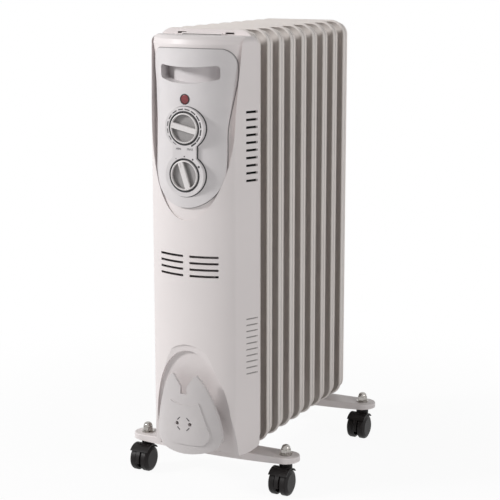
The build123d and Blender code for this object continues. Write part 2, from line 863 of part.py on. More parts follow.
with BuildPart() as hook_pad:
    with BuildSketch(facing(front_y - 5)):
        with BuildLine():
            ThreePointArc((-21.5, plug_z + 30), (0, plug_z + 26), (21.5, plug_z + 30))
            Line((21.5, plug_z + 30), (35, plug_z - 12))
            ThreePointArc((35, plug_z - 12), (33, plug_z - 22), (24.5, plug_z - 28.5))
            Line((24.5, plug_z - 28.5), (-24.5, plug_z - 28.5))
            ThreePointArc((-24.5, plug_z - 28.5), (-33, plug_z - 22), (-35, plug_z - 12))
            Line((-35, plug_z - 12), (-21.5, plug_z + 30))
        make_face()
    extrude(amount=-40)
    with BuildSketch(Plane.XY.offset(hook_bottom_z - 20)):
        with Locations((0, front_y + hook_bow_r)):
            Circle(hook_bow_r)
            Circle(hook_bow_r - hook_step - hook_thick / 2, mode=Mode.SUBTRACT)
    extrude(amount=hook_top_z - hook_bottom_z + 60, mode=Mode.INTERSECT)

with BuildPart() as cord_hook:
    with BuildSketch(facing(front_y + 1)):
        with Locations((0, plug_z + 4)):
            RectangleRounded(hook_neck_width, hook_neck_height, 8)
    extrude(amount=-60)
    with BuildSketch(Plane.XY.offset(hook_bottom_z - 20)):
        with Locations((0, front_y + hook_bow_r)):
            Circle(hook_bow_r - hook_step - 1)
    extrude(amount=hook_top_z - hook_bottom_z + 60, mode=Mode.INTERSECT)
    with BuildSketch(Plane.YZ):
        Polygon(
            (arch_floor_y(0), 0),
            (arch_floor_y(0) + far, 0),
            (arch_floor_y(arch_top_z) + far, arch_top_z),
            (arch_floor_y(arch_top_z), arch_top_z),
            align=None,
        )
    extrude(amount=far, both=True, mode=Mode.SUBTRACT)
    add(hook_shield.part)
    add(hook_pad.part)
    with BuildSketch(facing(front_y - 5)):
        with Locations((-plug_pin_spacing / 2, plug_z), (plug_pin_spacing / 2, plug_z)):
            Circle(plug_pin_r)
    extrude(amount=-6.4 - plug_pin_depth, mode=Mode.SUBTRACT)
save(cord_hook.part, "cord_hook")

# Feet: one pressed plate under each end, held up to the oil collars by a bent rod
foot_line = {}
rod_line = {}
foot_line["front"] = (fin_front_y(1) + fin_lip + fin_front_y(2)) / 2 - foot_offset
rod_line["front"] = foot_line["front"] + foot_offset
foot_line["rear"] = (fin_front_y(fin_count - 1) + fin_lip + fin_front_y(fin_count)) / 2 + foot_offset
rod_line["rear"] = foot_line["rear"] - foot_offset
rod_bend_r = collar_r + 0.1 + rod_r
foot_low_z = foot_top_z - foot_mid_depth
sole_z = foot_top_z - foot_sheet
rod_low_z = foot_low_z + 1


def make_foot(end):
    """One foot plate with a turned-down rim, deeper in the middle, and its holes."""
    y = foot_line[end]
    with BuildPart() as foot:
        with BuildSketch(Plane.XY.offset(foot_low_z)):
            with Locations((0, y)):
                SlotOverall(2 * foot_half, foot_width)
        extrude(amount=foot_mid_depth)
        with BuildSketch(facing(y)):
            with BuildLine():
                ThreePointArc(
                    (-foot_half - 5, foot_top_z - foot_end_depth),
                    (0, foot_low_z),
                    (foot_half + 5, foot_top_z - foot_end_depth),
                )
                Polyline(
                    (foot_half + 5, foot_top_z - foot_end_depth),
                    (foot_half + 5, foot_top_z + 5),
                    (-foot_half - 5, foot_top_z + 5),
                    (-foot_half - 5, foot_top_z - foot_end_depth),
                )
            make_face()
        extrude(amount=foot_width, both=True, mode=Mode.INTERSECT)
        fillet(foot.faces().sort_by(Axis.Z)[-1].edges(), 1.5)
        with BuildSketch(Plane.XY.offset(foot_low_z - 5)):
            with Locations((0, y)):
                SlotOverall(2 * (foot_half - foot_sheet), foot_width - 2 * foot_sheet)
        extrude(amount=sole_z - foot_low_z + 5, mode=Mode.SUBTRACT)
        with BuildSketch(Plane.XY.offset(foot_low_z)):
            with Locations((-track_half, y), (track_half, y)):
                Circle(stud_r + clearance)
            with Locations((-rod_bend_r, rod_line[end]), (rod_bend_r, rod_line[end])):
                Circle(rod_r + clearance)
        extrude(amount=foot_mid_depth + 1, mode=Mode.SUBTRACT)
    save(foot.part, f"{end}_foot")


for end in ("front", "rear"):
    make_foot(end)

with BuildPart() as u_bolts:
    for end in ("front", "rear"):
        with BuildLine(facing(rod_line[end])) as rod:
            Line((-rod_bend_r, rod_low_z), (-rod_bend_r, header_low_z))
            ThreePointArc(
                (-rod_bend_r, header_low_z), (0, header_low_z + rod_bend_r), (rod_bend_r, header_low_z)
            )
            Line((rod_bend_r, header_low_z), (rod_bend_r, rod_low_z))
        with BuildSketch(Plane.XY.offset(rod_low_z)):
            with Locations((-rod_bend_r, rod_line[end])):
                Circle(rod_r)
        sweep(path=rod.line)
save(u_bolts.part, "u_bolts")

wing_places = [(x, rod_line[end]) for x in (-rod_bend_r, rod_bend_r) for end in ("front", "rear")]
with BuildPart() as wing_nuts:
    with BuildSketch(Plane.XY.offset(sole_z)):
        with Locations(wing_places):
            Circle(rod_r + 1.6)
    extrude(amount=-6)
    with BuildSketch(Plane.XY.offset(sole_z - 2.5)):
        with Locations(wing_places):
            Rectangle(21, 2.4)
    extrude(amount=-6)
    with BuildSketch(Plane.XY.offset(sole_z)):
        with Locations(wing_places):
            Circle(rod_r + 0.05)
    extrude(amount=-20, mode=Mode.SUBTRACT)
save(wing_nuts.part, "wing_nuts")

# Castors: fixed stems, then a swivelling hood, an axle and two wheels at each corner
corners = {
    "front_left": (-track_half, foot_line["front"]),
    "front_right": (track_half, foot_line["front"]),
    "rear_left": (-track_half, foot_line["rear"]),
    "rear_right": (track_half, foot_line["rear"]),
}
stem_low_z = wheel_r * 2 - 1.8
stem_top_z = foot_top_z + washer_thick + nut_height + 2.5

with BuildPart() as castor_stems:
    with BuildSketch(Plane.XY.offset(stem_low_z)):
        with Locations(list(corners.values())):
            Circle(stud_r)
    extrude(amount=stem_top_z - stem_low_z)
    with BuildSketch(Plane.XY.offset(hood_top_z + clearance)):
        with Locations(list(corners.values())):
            RegularPolygon(7, 6)
    extrude(amount=sole_z - hood_top_z - clearance)
save(castor_stems.part, "castor_stems")

with BuildPart() as washers:
    with BuildSketch(Plane.XY.offset(foot_top_z)):
        with Locations(list(corners.values())):
            Circle(9)
            Circle(stud_r + clearance, mode=Mode.SUBTRACT)
    extrude(amount=washer_thick)
save(washers.part, "washers")

with BuildPart() as dome_nuts:
    with BuildSketch(Plane.XY.offset(foot_top_z + washer_thick)):
        with Locations(list(corners.values())):
            RegularPolygon(nut_flats / sqrt(3), 6)
    extrude(amount=nut_height)
    with BuildSketch(Plane.XY.offset(foot_top_z + washer_thick + nut_height)):
        with Locations(list(corners.values())):
            Circle(nut_flats / 2 - 0.4)
    extrude(amount=6)
    fillet(dome_nuts.faces().group_by(Axis.Z)[-1].edges(), 5)
    with BuildSketch(Plane.XY.offset(foot_top_z)):
        with Locations(list(corners.values())):
            Circle(stud_r + 0.05)
    extrude(amount=stem_top_z - foot_top_z + 0.5, mode=Mode.SUBTRACT)
save(dome_nuts.part, "dome_nuts")


def make_castor(corner, x, y):
    """One twin wheel castor below a foot: hood with its web, axle pin and two cupped wheels."""
    axle_y = y - wheel_trail
    inner_r = wheel_r + hood_gap
    outer_r = inner_r + hood_wall
    hood_half = wheel_gap / 2 + wheel_width
    web_half = wheel_gap / 2 - 0.6
    side_plane = Plane((x, axle_y, wheel_r), x_dir=(0, 1, 0), z_dir=(1, 0, 0))
    with BuildPart() as hood:
        with BuildSketch(side_plane):
            Circle(outer_r)
            Circle(inner_r, mode=Mode.SUBTRACT)
            with Locations((0, -outer_r + hood_skirt)):
                Rectangle(3 * outer_r, 2 * outer_r, mode=Mode.SUBTRACT)
        extrude(amount=hood_half - 1, both=True)
        with BuildSketch(side_plane):
            Circle(inner_r + 1)
            with Locations((0, -outer_r - 4)):
                Rectangle(3 * outer_r, 2 * outer_r, mode=Mode.SUBTRACT)
        extrude(amount=web_half, both=True)
        with BuildSketch(Plane.XY.offset(wheel_r)):
            with Locations((x, y)):
                Circle(hood_neck_r)
        extrude(amount=hood_top_z - wheel_r)
        with BuildSketch(side_plane):
            Circle(inner_r)
        extrude(amount=hood_half + 2, both=True, mode=Mode.SUBTRACT)
        with BuildSketch(side_plane):
            Circle(inner_r + 1)
            with Locations((0, -outer_r - 4)):
                Rectangle(3 * outer_r, 2 * outer_r, mode=Mode.SUBTRACT)
        extrude(amount=web_half, both=True)
        with BuildSketch(Plane.XY.offset(stem_low_z - 0.3)):
            with Locations((x, y)):
                Circle(stud_r + running)
        extrude(amount=40, mode=Mode.SUBTRACT)
        with BuildSketch(side_plane):
            Circle(axle_r + 0.02)
        extrude(amount=hood_half, both=True, mode=Mode.SUBTRACT)
    save(hood.part, f"castor_{corner}")

    with BuildPart() as axle:
        with BuildSketch(side_plane):
            Circle(axle_r)
        extrude(amount=hood_half - wheel_face, both=True)
    save(axle.part, f"axle_{corner}")

    for side, way in (("left", -1), ("right", 1)):
        near = wheel_gap / 2
        face = near + wheel_width
        with BuildPart() as wheel:
            with BuildSketch(Plane.XY.offset(wheel_r)):
                with BuildLine():
                    Polyline(
                        (x + way * (face - wheel_face + 0.2), axle_y),
                        (x + way * face, axle_y),
                        (x + way * face, axle_y + wheel_r - 5),
                        (x + way * (face - 2), axle_y + wheel_r - 1),
                        (x + way * (face - 4), axle_y + wheel_r),
                        (x + way * (near + 1), axle_y + wheel_r),
                        (x + way * near, axle_y + wheel_r - 1),
                        (x + way * near, axle_y + wheel_r - wheel_rim),
                        (x + way * (face - wheel_face), axle_y + wheel_r - wheel_rim - 1),
                        (x + way * (face - wheel_face), axle_y + axle_r + 3),
                        (x + way * near, axle_y + axle_r + 3),
                        (x + way * near, axle_y + axle_r + running),
                        (x + way * (face - wheel_face + 0.2), axle_y + axle_r + running),
                        close=True,
                    )
                make_face()
            revolve(axis=Axis((x, axle_y, wheel_r), (1, 0, 0)))
        save(wheel.part, f"wheel_{corner}_{side}")


for corner, place in corners.items():
    make_castor(corner, *place)
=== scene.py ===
import math
from itertools import product

import bmesh
import bpy
from bpy.props import FloatProperty, FloatVectorProperty, IntProperty, PointerProperty
from mathutils import Matrix, Vector


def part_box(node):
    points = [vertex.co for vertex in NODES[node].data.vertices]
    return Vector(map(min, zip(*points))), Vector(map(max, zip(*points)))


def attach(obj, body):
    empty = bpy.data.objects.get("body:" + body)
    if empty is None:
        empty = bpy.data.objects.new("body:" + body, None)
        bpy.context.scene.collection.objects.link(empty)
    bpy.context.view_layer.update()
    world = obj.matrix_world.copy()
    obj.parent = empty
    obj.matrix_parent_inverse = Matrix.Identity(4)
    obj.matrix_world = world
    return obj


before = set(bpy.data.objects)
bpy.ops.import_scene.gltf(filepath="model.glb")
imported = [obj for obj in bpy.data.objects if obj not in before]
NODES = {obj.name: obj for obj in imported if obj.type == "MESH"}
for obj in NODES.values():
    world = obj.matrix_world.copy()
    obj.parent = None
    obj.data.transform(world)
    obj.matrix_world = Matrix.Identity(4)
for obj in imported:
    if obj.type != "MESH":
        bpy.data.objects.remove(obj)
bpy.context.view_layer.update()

bl_info = {
    "name": "Oil radiator heater dressing",
    "version": (1, 0, 0),
    "blender": (4, 5, 0),
    "location": "3D View > Sidebar > Heater",
    "description": "Finishes, printed marks and a studio stage for an oil filled radiator heater",
    "category": "Object",
}

RADIATOR = "radiator"

# Shares of a normal along Y: of faces that look front or back, of upright walls and of a fin's lip
FACING = 0.6
UPRIGHT = 0.3
LIP_LEAN = (0.2, 0.45)

# Pressed corners of a fin's oil channel, as radii with heights over the web's middle
WEB_BEHIND_COLLAR = 0.016
CHANNEL_CENTRE_X = 0.030
CHANNEL_CENTRE_UP = 0.2415
CHANNEL_DRAFT = math.radians(25)
CHANNEL_SKIN = ((0.0207, 0.00098), (0.01603, 0.00098), (0.01603, 0.0063), (0.0152, 0.0063))
CHANNEL_ROOT = ((0.0150, 0.00002), (0.0202, 0.00002))
CHANNEL_STEPS = 10

# Darker line on a fin's lip beside the hem: painted shade, standing in for the shade of a groove
LIP_SHADE_FROM_HEM = 0.006
LIP_SHADE_WIDTH = 0.003
LIP_SHADE_SUNK = 0.0001
LIP_SHADE_PROUD = 0.00015
LIP_SHADE_TONE = 0.5

# Dark sheet behind the open slots at the cover's sides: painted shade, for the dark inside of the box
SLOT_SHADE_AT = (0.0703, -0.1295, 0.475)
SLOT_SHADE_SIZE = (0.0006, 0.023, 0.104)
SLOT_SHADE_TURN = math.radians(16)

# Closed louvres low on the cover's sides, the painted shade strips on their floors, and a place outside them
LOUVRE_COUNT = 10
LOUVRE_LOW_Z = 0.17115
LOUVRE_PITCH = 0.0083
LOUVRE_ENDS_Y = (-0.1372, -0.1211)
LOUVRE_SHADE_THICK = 0.0005
LOUVRE_SHADE_HIGH = 0.0015
LOUVRE_SHADE_PROUD = 0.0001
OUTSIDE_X = 0.2

# Spring clip on the cover's top, and the painted shadow line in front of it
CLIP_Y = -0.1272
CLIP_SIZE = (0.060, 0.0032, 0.0028)
CLIP_ROUND = 0.0008
CLIP_SHADOW_Y = -0.1292
CLIP_SHADOW_RISE = 0.0002
CLIP_SHADOW_SIZE = (0.058, 0.0012, 0.0010)

# Painted shade: a dark strip behind the panel's edge, and a dark line at the foot of the dial plateau that
# widens at the right, where the shadow falls
EDGE_SHADE_WIDTH = 0.0008
EDGE_SHADE_SUNK = 0.0002
EDGE_SHADE_PROUD = 0.0009
PLATEAU_SIDE_X = 0.028
PLATEAU_SHADE_NARROW = 0.0005
PLATEAU_SHADE_WIDE = 0.0018
PLATEAU_SHADE_SUNK = 0.0001
PLATEAU_SHADE_PROUD = 0.0003

# Bezel round the indicator lens
BEZEL_GAP = 0.0001
BEZEL_WIDTH = 0.0009
BEZEL_SLOPE = 0.0002
BEZEL_DEEP = 0.0022

# Dark rings round each knob, as radii past the knob's and depths behind the panel's face: painted shade down
# in the gap, and a printed line on the well's rim
RING_STEPS = 48
GAP_RING = 0.0003
WELL_RING = 0.00095
RIM_RING = 0.0018
GAP_FRONT = 0.0003
GAP_REAR = 0.0012

# Printed marks, with turns in degrees clockwise from the top
INK_HALF = 0.00015
SCALE_START = -145
SCALE_SWEEP = 290
DASH_LENGTH = 0.0056
DASH_LENGTH_GAIN = 0.0030
DASH_HEIGHT = 0.0008
DASH_HEIGHT_GAIN = 0.0012
DOT_TURNS = (-30, 0, 30, 60)
DOT_RADIUS = 0.0006
DOT_RADIUS_GAIN = 0.0003
WORD_SIDES = (("MIN", -1), ("MAX", 1))
WORD_SIZE = 0.0042
WORD_HALF = 0.00012
WORD_X = 0.0085
WORD_DROP = 0.0282
PLUG_DASH_TURNS = (45, 135, 225, 315)
PLUG_DASH_SIZE = (0.0056, 0.0009, 0.0011)
PLUG_DASH_BEHIND = 0.0005

# Knob's depth from the finger bar to below the pockets, over which the painted shade darkens the knob
KNOB_SHADE_DEPTH = 0.005

# Floor paper, which is all white from the far radius on
FLOOR_HALF = 9.0
FLOOR_NEAR = 0.25
FLOOR_FAR = 0.85
FLOOR_NEAR_WHITE = 0.94

# Lamps
LAMP_TARGET = (0, 0, 0.33)
KEY_AT = (-2.1, -1.85, 1.7)
KEY_SIZE = 0.6
SIDE_AT = (2.6, -0.7, 1.0)
SIDE_SIZE = 1.2

# Camera, with its lens and sensor in millimetres
CAMERA_AT = (0.9291, -1.8116, 0.7241)
CAMERA_LENS = 105.86
CAMERA_SENSOR = 36.0
CAMERA_SHIFT = (-0.01336, -0.0099)


def middle_z(name):
    """Height of the middle of a CAD node's box."""
    low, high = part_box(name)
    return (low[2] + high[2]) / 2


class HeaterColours(bpy.types.PropertyGroup):
    """Colours of the heater's finishes."""

    cover: FloatVectorProperty(
        name="Cover enamel", description="Stoved enamel on the box and the feet", subtype="COLOR",
        size=3, min=0, max=1, default=(0.80, 0.745, 0.738),
    )
    fin: FloatVectorProperty(
        name="Fin enamel", description="Stoved enamel on the fins", subtype="COLOR",
        size=3, min=0, max=1, default=(0.80, 0.745, 0.71),
    )
    # Painted shade: colour of the dark strips on the louvres' floors and of the line in front of the clip
    louvre: FloatVectorProperty(
        name="Louvre painted shade", description="Painted shade on the louvres' floors", subtype="COLOR",
        size=3, min=0, max=1, default=(0.30, 0.285, 0.28),
    )
    # Painted shade: colour of the dark sheet that stands for the shade inside the box behind the side slots
    slot_shade: FloatVectorProperty(
        name="Slot shade sheet", description="Dark sheet behind the side slots, for painted shade", subtype="COLOR",
        size=3, min=0, max=1, default=(0.010, 0.010, 0.010),
    )
    panel: FloatVectorProperty(
        name="Panel plastic", description="Moulded plastic of the control panel", subtype="COLOR",
        size=3, min=0, max=1, default=(0.70, 0.668, 0.672),
    )
    # Painted shade: colour of the dark strip behind the panel's edge
    edge_shade: FloatVectorProperty(
        name="Panel edge shade", description="Painted shade behind the panel's edge", subtype="COLOR",
        size=3, min=0, max=1, default=(0.24, 0.23, 0.23),
    )
    hook: FloatVectorProperty(
        name="Hook plastic", description="Moulded plastic of the cord hook", subtype="COLOR",
        size=3, min=0, max=1, default=(0.62, 0.585, 0.583),
    )
    # Painted light and shade: this colour is lightened at the knobs' fronts and darkened in their pockets
    knob: FloatVectorProperty(
        name="Knob plastic", description="Glossy plastic of the two knobs", subtype="COLOR",
        size=3, min=0, max=1, default=(0.56, 0.535, 0.53),
    )
    lens: FloatVectorProperty(
        name="Lens", description="Red indicator lens", subtype="COLOR",
        size=3, min=0, max=1, default=(0.20, 0.012, 0.016),
    )
    castor: FloatVectorProperty(
        name="Castor plastic", description="Black nylon of the castors", subtype="COLOR",
        size=3, min=0, max=1, default=(0.011, 0.009, 0.009),
    )
    # This colour also paints shade in the knobs' gaps and at the plateau's foot
    print_and_shade: FloatVectorProperty(
        name="Printed marks", description="Ink of the dial marks", subtype="COLOR",
        size=3, min=0, max=1, default=(0.03, 0.03, 0.032),
    )
    chrome: FloatVectorProperty(
        name="Chrome", description="Plating of the dome nuts and washers", subtype="COLOR",
        size=3, min=0, max=1, default=(0.40, 0.38, 0.36),
    )
    zinc: FloatVectorProperty(
        name="Zinc plate", description="Plating of the rods, stems, screws and axles", subtype="COLOR",
        size=3, min=0, max=1, default=(0.60, 0.60, 0.62),
    )
    steel: FloatVectorProperty(
        name="Element steel", description="Steel of the heating elements and the shafts", subtype="COLOR",
        size=3, min=0, max=1, default=(0.50, 0.48, 0.46),
    )
    phenolic: FloatVectorProperty(
        name="Dark phenolic", description="Plastic of the switches and the terminals", subtype="COLOR",
        size=3, min=0, max=1, default=(0.02, 0.02, 0.021),
    )
    gland: FloatVectorProperty(
        name="Gland rubber", description="Rubber of the cord gland", subtype="COLOR",
        size=3, min=0, max=1, default=(0.025, 0.025, 0.026),
    )
    brass: FloatVectorProperty(
        name="Brass", description="Brass of the control nuts", subtype="COLOR",
        size=3, min=0, max=1, default=(0.72, 0.52, 0.24),
    )
    floor: FloatVectorProperty(
        name="Floor paper", description="Paper under the heater", subtype="COLOR",
        size=3, min=0, max=1, default=(0.86, 0.86, 0.86),
    )


class HeaterMarks(bpy.types.PropertyGroup):
    """Sizes and places of the printed marks."""

    thermostat_z: FloatProperty(
        name="Thermostat height", description="Height of the thermostat's axis", unit="LENGTH",
        default=middle_z("thermostat_knob"),
    )
    switch_z: FloatProperty(
        name="Switch height", description="Height of the heat switch's axis", unit="LENGTH",
        default=middle_z("switch_knob"),
    )
    lens_z: FloatProperty(
        name="Lens height", description="Height of the indicator lens", unit="LENGTH",
        default=middle_z("indicator_lens"),
    )
    ring: FloatProperty(
        name="Mark radius", description="Middle of the ring of marks round a knob", unit="LENGTH",
        default=0.0245,
    )
    dashes: IntProperty(
        name="Dashes", description="Dashes on the thermostat's scale", default=14, min=5,
    )
    plug_z: FloatProperty(
        name="Plug height", description="Height of the plug parking holes", unit="LENGTH", default=0.1063,
    )
    plug_ring: FloatProperty(
        name="Plug ring", description="Radius of the dashes round the plug holes", unit="LENGTH",
        default=0.0098,
    )


class HeaterStage(bpy.types.PropertyGroup):
    """Camera and lamps of the studio."""

    azimuth: FloatProperty(
        name="Camera azimuth", description="Turn of the camera to the right", subtype="ANGLE",
        default=math.radians(26.78),
    )
    elevation: FloatProperty(
        name="Camera elevation", description="Height angle of the camera", subtype="ANGLE",
        default=math.radians(11.36),
    )
    key: FloatProperty(
        name="Key lamp", description="Power of the soft lamp at the front left", unit="POWER",
        default=66, min=0,
    )
    side: FloatProperty(
        name="Side lamp", description="Power of the soft lamp at the right", unit="POWER",
        default=20, min=0,
    )
    sky: FloatProperty(name="Room light", description="Strength of the even light", default=0.22, min=0)


def settings():
    """The scene's colours, marks and stage."""
    scene = bpy.context.scene
    return scene.heater_colours, scene.heater_marks, scene.heater_stage


def start_finish(name, colour, roughness, metallic=0.0):
    """A new material with its shader set, ready for a pattern."""
    material = bpy.data.materials.new(name)
    material.use_nodes = True
    nodes = material.node_tree.nodes
    shader = nodes["Principled BSDF"]
    shader.inputs["Base Color"].default_value = (*colour, 1)
    shader.inputs["Roughness"].default_value = roughness
    shader.inputs["Metallic"].default_value = metallic
    return material, nodes, material.node_tree.links, shader


def add_noise(nodes, links, scale, detail=3.0, stretch=(1, 1, 1)):
    """Noise on the piece's own coordinates, in features per metre."""
    place = nodes.new("ShaderNodeTexCoord")
    mapping = nodes.new("ShaderNodeMapping")
    mapping.inputs["Scale"].default_value = stretch
    noise = nodes.new("ShaderNodeTexNoise")
    noise.inputs["Scale"].default_value = scale
    noise.inputs["Detail"].default_value = detail
    links.new(place.outputs["Object"], mapping.inputs["Vector"])
    links.new(mapping.outputs["Vector"], noise.inputs["Vector"])
    return noise.outputs["Fac"]


def vary_colour(nodes, links, shader, fac, low, high):
    """The base colour drifts between two tones."""
    ramp = nodes.new("ShaderNodeValToRGB")
    ramp.color_ramp.elements[0].position = 0.3
    ramp.color_ramp.elements[1].position = 0.7
    ramp.color_ramp.elements[0].color = (*low, 1)
    ramp.color_ramp.elements[1].color = (*high, 1)
    links.new(fac, ramp.inputs["Fac"])
    links.new(ramp.outputs["Color"], shader.inputs["Base Color"])


def vary_roughness(nodes, links, shader, fac, low, high):
    """The gloss drifts between two levels."""
    span = nodes.new("ShaderNodeMapRange")
    span.inputs["From Min"].default_value = 0.3
    span.inputs["From Max"].default_value = 0.7
    span.inputs["To Min"].default_value = low
    span.inputs["To Max"].default_value = high
    links.new(fac, span.inputs["Value"])
    links.new(span.outputs["Result"], shader.inputs["Roughness"])


def add_bump(nodes, links, shader, fac, strength, distance):
    """A shallow relief from a pattern."""
    bump = nodes.new("ShaderNodeBump")
    bump.inputs["Strength"].default_value = strength
    bump.inputs["Distance"].default_value = distance
    links.new(fac, bump.inputs["Height"])
    links.new(bump.outputs["Normal"], shader.inputs["Normal"])


def seen_directly(nodes, links):
    """One for rays from the camera, a mirror or a lens, and nothing for the light that falls on things."""
    path = nodes.new("ShaderNodeLightPath")
    total = path.outputs["Is Camera Ray"]
    for name in ("Is Glossy Ray", "Is Transmission Ray"):
        added = nodes.new("ShaderNodeMath")
        added.operation = "ADD"
        added.use_clamp = True
        links.new(total, added.inputs[0])
        links.new(path.outputs[name], added.inputs[1])
        total = added.outputs["Value"]
    return total


def tone(colour, factor):
    """A lighter or darker tone of a colour."""
    return tuple(min(1.0, channel * factor) for channel in colour)


def enamel_finish(name, colour, roughness):
    """Stoved enamel on sheet steel: a faint orange peel and a slow drift in tone."""
    material, nodes, links, shader = start_finish(name, colour, roughness)
    drift = add_noise(nodes, links, 9.0)
    peel = add_noise(nodes, links, 620.0, 2.0)
    vary_colour(nodes, links, shader, drift, tone(colour, 0.975), tone(colour, 1.02))
    vary_roughness(nodes, links, shader, drift, roughness - 0.05, roughness + 0.06)
    add_bump(nodes, links, shader, peel, 0.10, 0.0002)
    shader.inputs["Coat Weight"].default_value = 0.15
    shader.inputs["Coat Roughness"].default_value = 0.5
    return material


def moulded_finish(name, colour, roughness, grain=1500.0, depth=0.12, shine=0.5):
    """Moulded plastic with a fine spark texture."""
    material, nodes, links, shader = start_finish(name, colour, roughness)
    drift = add_noise(nodes, links, 30.0)
    spark = add_noise(nodes, links, grain, 2.0)
    vary_colour(nodes, links, shader, drift, tone(colour, 0.97), tone(colour, 1.03))
    vary_roughness(nodes, links, shader, spark, roughness - 0.06, roughness + 0.06)
    add_bump(nodes, links, shader, spark, depth, 0.00012)
    shader.inputs["Specular IOR Level"].default_value = shine
    return material


def metal_finish(name, colour, roughness, stretch):
    """Bright metal with fine drawn lines."""
    material, nodes, links, shader = start_finish(name, colour, roughness, metallic=1.0)
    lines = add_noise(nodes, links, 500.0, 3.0, stretch)
    vary_colour(nodes, links, shader, lines, tone(colour, 0.92), tone(colour, 1.05))
    vary_roughness(nodes, links, shader, lines, max(0.04, roughness - 0.05), roughness + 0.08)
    add_bump(nodes, links, shader, lines, 0.06, 0.0001)
    return material


def knob_light_and_shade_finish(name, colour, front):
    """Glossy plastic with painted light and shade: lighter on the rim and the finger bar and darker down in
    the pockets, where the shade falls.
    """
    material, nodes, links, shader = start_finish(name, colour, 0.28)
    place = nodes.new("ShaderNodeTexCoord")
    split = nodes.new("ShaderNodeSeparateXYZ")
    links.new(place.outputs["Object"], split.inputs["Vector"])
    depth = nodes.new("ShaderNodeMapRange")
    depth.inputs["From Min"].default_value = front
    depth.inputs["From Max"].default_value = front + KNOB_SHADE_DEPTH
    links.new(split.outputs["Y"], depth.inputs["Value"])
    # Painted light and shade: the tone runs from light at the front to dark at the pockets' depth
    vary_colour(nodes, links, shader, depth.outputs["Result"], tone(colour, 1.38), tone(colour, 0.62))
    spark = add_noise(nodes, links, 900.0, 2.0)
    vary_roughness(nodes, links, shader, spark, 0.22, 0.34)
    add_bump(nodes, links, shader, spark, 0.05, 0.00012)
    return material


def lens_finish(name, colour):
    """Red plastic under a clear coat, with a darker core."""
    material, nodes, links, shader = start_finish(name, colour, 0.12)
    core = add_noise(nodes, links, 260.0, 1.0)
    vary_colour(nodes, links, shader, core, tone(colour, 0.75), tone(colour, 1.25))
    shader.inputs["Coat Weight"].default_value = 0.6
    shader.inputs["Coat Roughness"].default_value = 0.05
    return material


def floor_finish(name, colour):
    """Matt paper that takes the heater's shadow and fades to white with the distance."""
    material, nodes, links, shader = start_finish(name, colour, 0.9)
    shader.inputs["Specular IOR Level"].default_value = 0.0
    place = nodes.new("ShaderNodeTexCoord")
    reach = nodes.new("ShaderNodeVectorMath")
    reach.operation = "LENGTH"
    links.new(place.outputs["Object"], reach.inputs[0])
    fade = nodes.new("ShaderNodeMapRange")
    fade.interpolation_type = "SMOOTHSTEP"
    fade.inputs["From Min"].default_value = FLOOR_NEAR
    fade.inputs["From Max"].default_value = FLOOR_FAR
    fade.inputs["To Min"].default_value = FLOOR_NEAR_WHITE
    links.new(reach.outputs["Value"], fade.inputs["Value"])
    seen = nodes.new("ShaderNodeMath")
    seen.operation = "MULTIPLY"
    links.new(fade.outputs["Result"], seen.inputs[0])
    links.new(seen_directly(nodes, links), seen.inputs[1])
    white = nodes.new("ShaderNodeEmission")
    white.inputs["Strength"].default_value = 1.0
    mix = nodes.new("ShaderNodeMixShader")
    links.new(seen.outputs["Value"], mix.inputs["Fac"])
    links.new(shader.outputs["BSDF"], mix.inputs[1])
    links.new(white.outputs["Emission"], mix.inputs[2])
    links.new(mix.outputs["Shader"], nodes["Material Output"].inputs["Surface"])
    return material


def wear(names, material):
    """Give CAD nodes one finish."""
    for name in names:
        mesh = NODES[name].data
        mesh.materials.clear()
        mesh.materials.append(material)


def keep_piece(bm, name, body, material):
    """Turn a bmesh into a piece of the heater that rides on a body."""
    bmesh.ops.recalc_face_normals(bm, faces=bm.faces)
    mesh = bpy.data.meshes.new(name)
    bm.to_mesh(mesh)
    bm.free()
    mesh.materials.append(material)
    piece = bpy.data.objects.new(name, mesh)
    bpy.context.scene.collection.objects.link(piece)
    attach(piece, body)


def add_box(bm, place, size):
    """A box of a given size at a place."""
    bmesh.ops.create_cube(bm, size=1, matrix=place @ Matrix.Diagonal((*size, 1)))


def round_axis(y, z, turn, radius):
    """A place at a turn, in degrees, and a radius about an axis along Y."""
    centre = Matrix.Translation((0, y, z))
    return centre @ Matrix.Rotation(math.radians(turn), 4, "Y") @ Matrix.Translation((0, 0, radius))


def ring_section(inner, outer, front, rear):
    """The square section of a ring, as radii and places along its axis."""
    return (inner, front), (outer, front), (outer, rear), (inner, rear)


def spin_ring(bm, z, section):
    """A full ring about an axis along Y, from its section."""
    corners = [bm.verts.new((radius, y, z)) for radius, y in section]
    face = bm.faces.new(corners)
    bmesh.ops.spin(
        bm, geom=[*corners, *face.edges, face], cent=(0, 0, z), axis=(0, 1, 0), angle=math.radians(360),
        steps=RING_STEPS, use_merge=True, use_normal_flip=False, use_duplicate=False,
    )


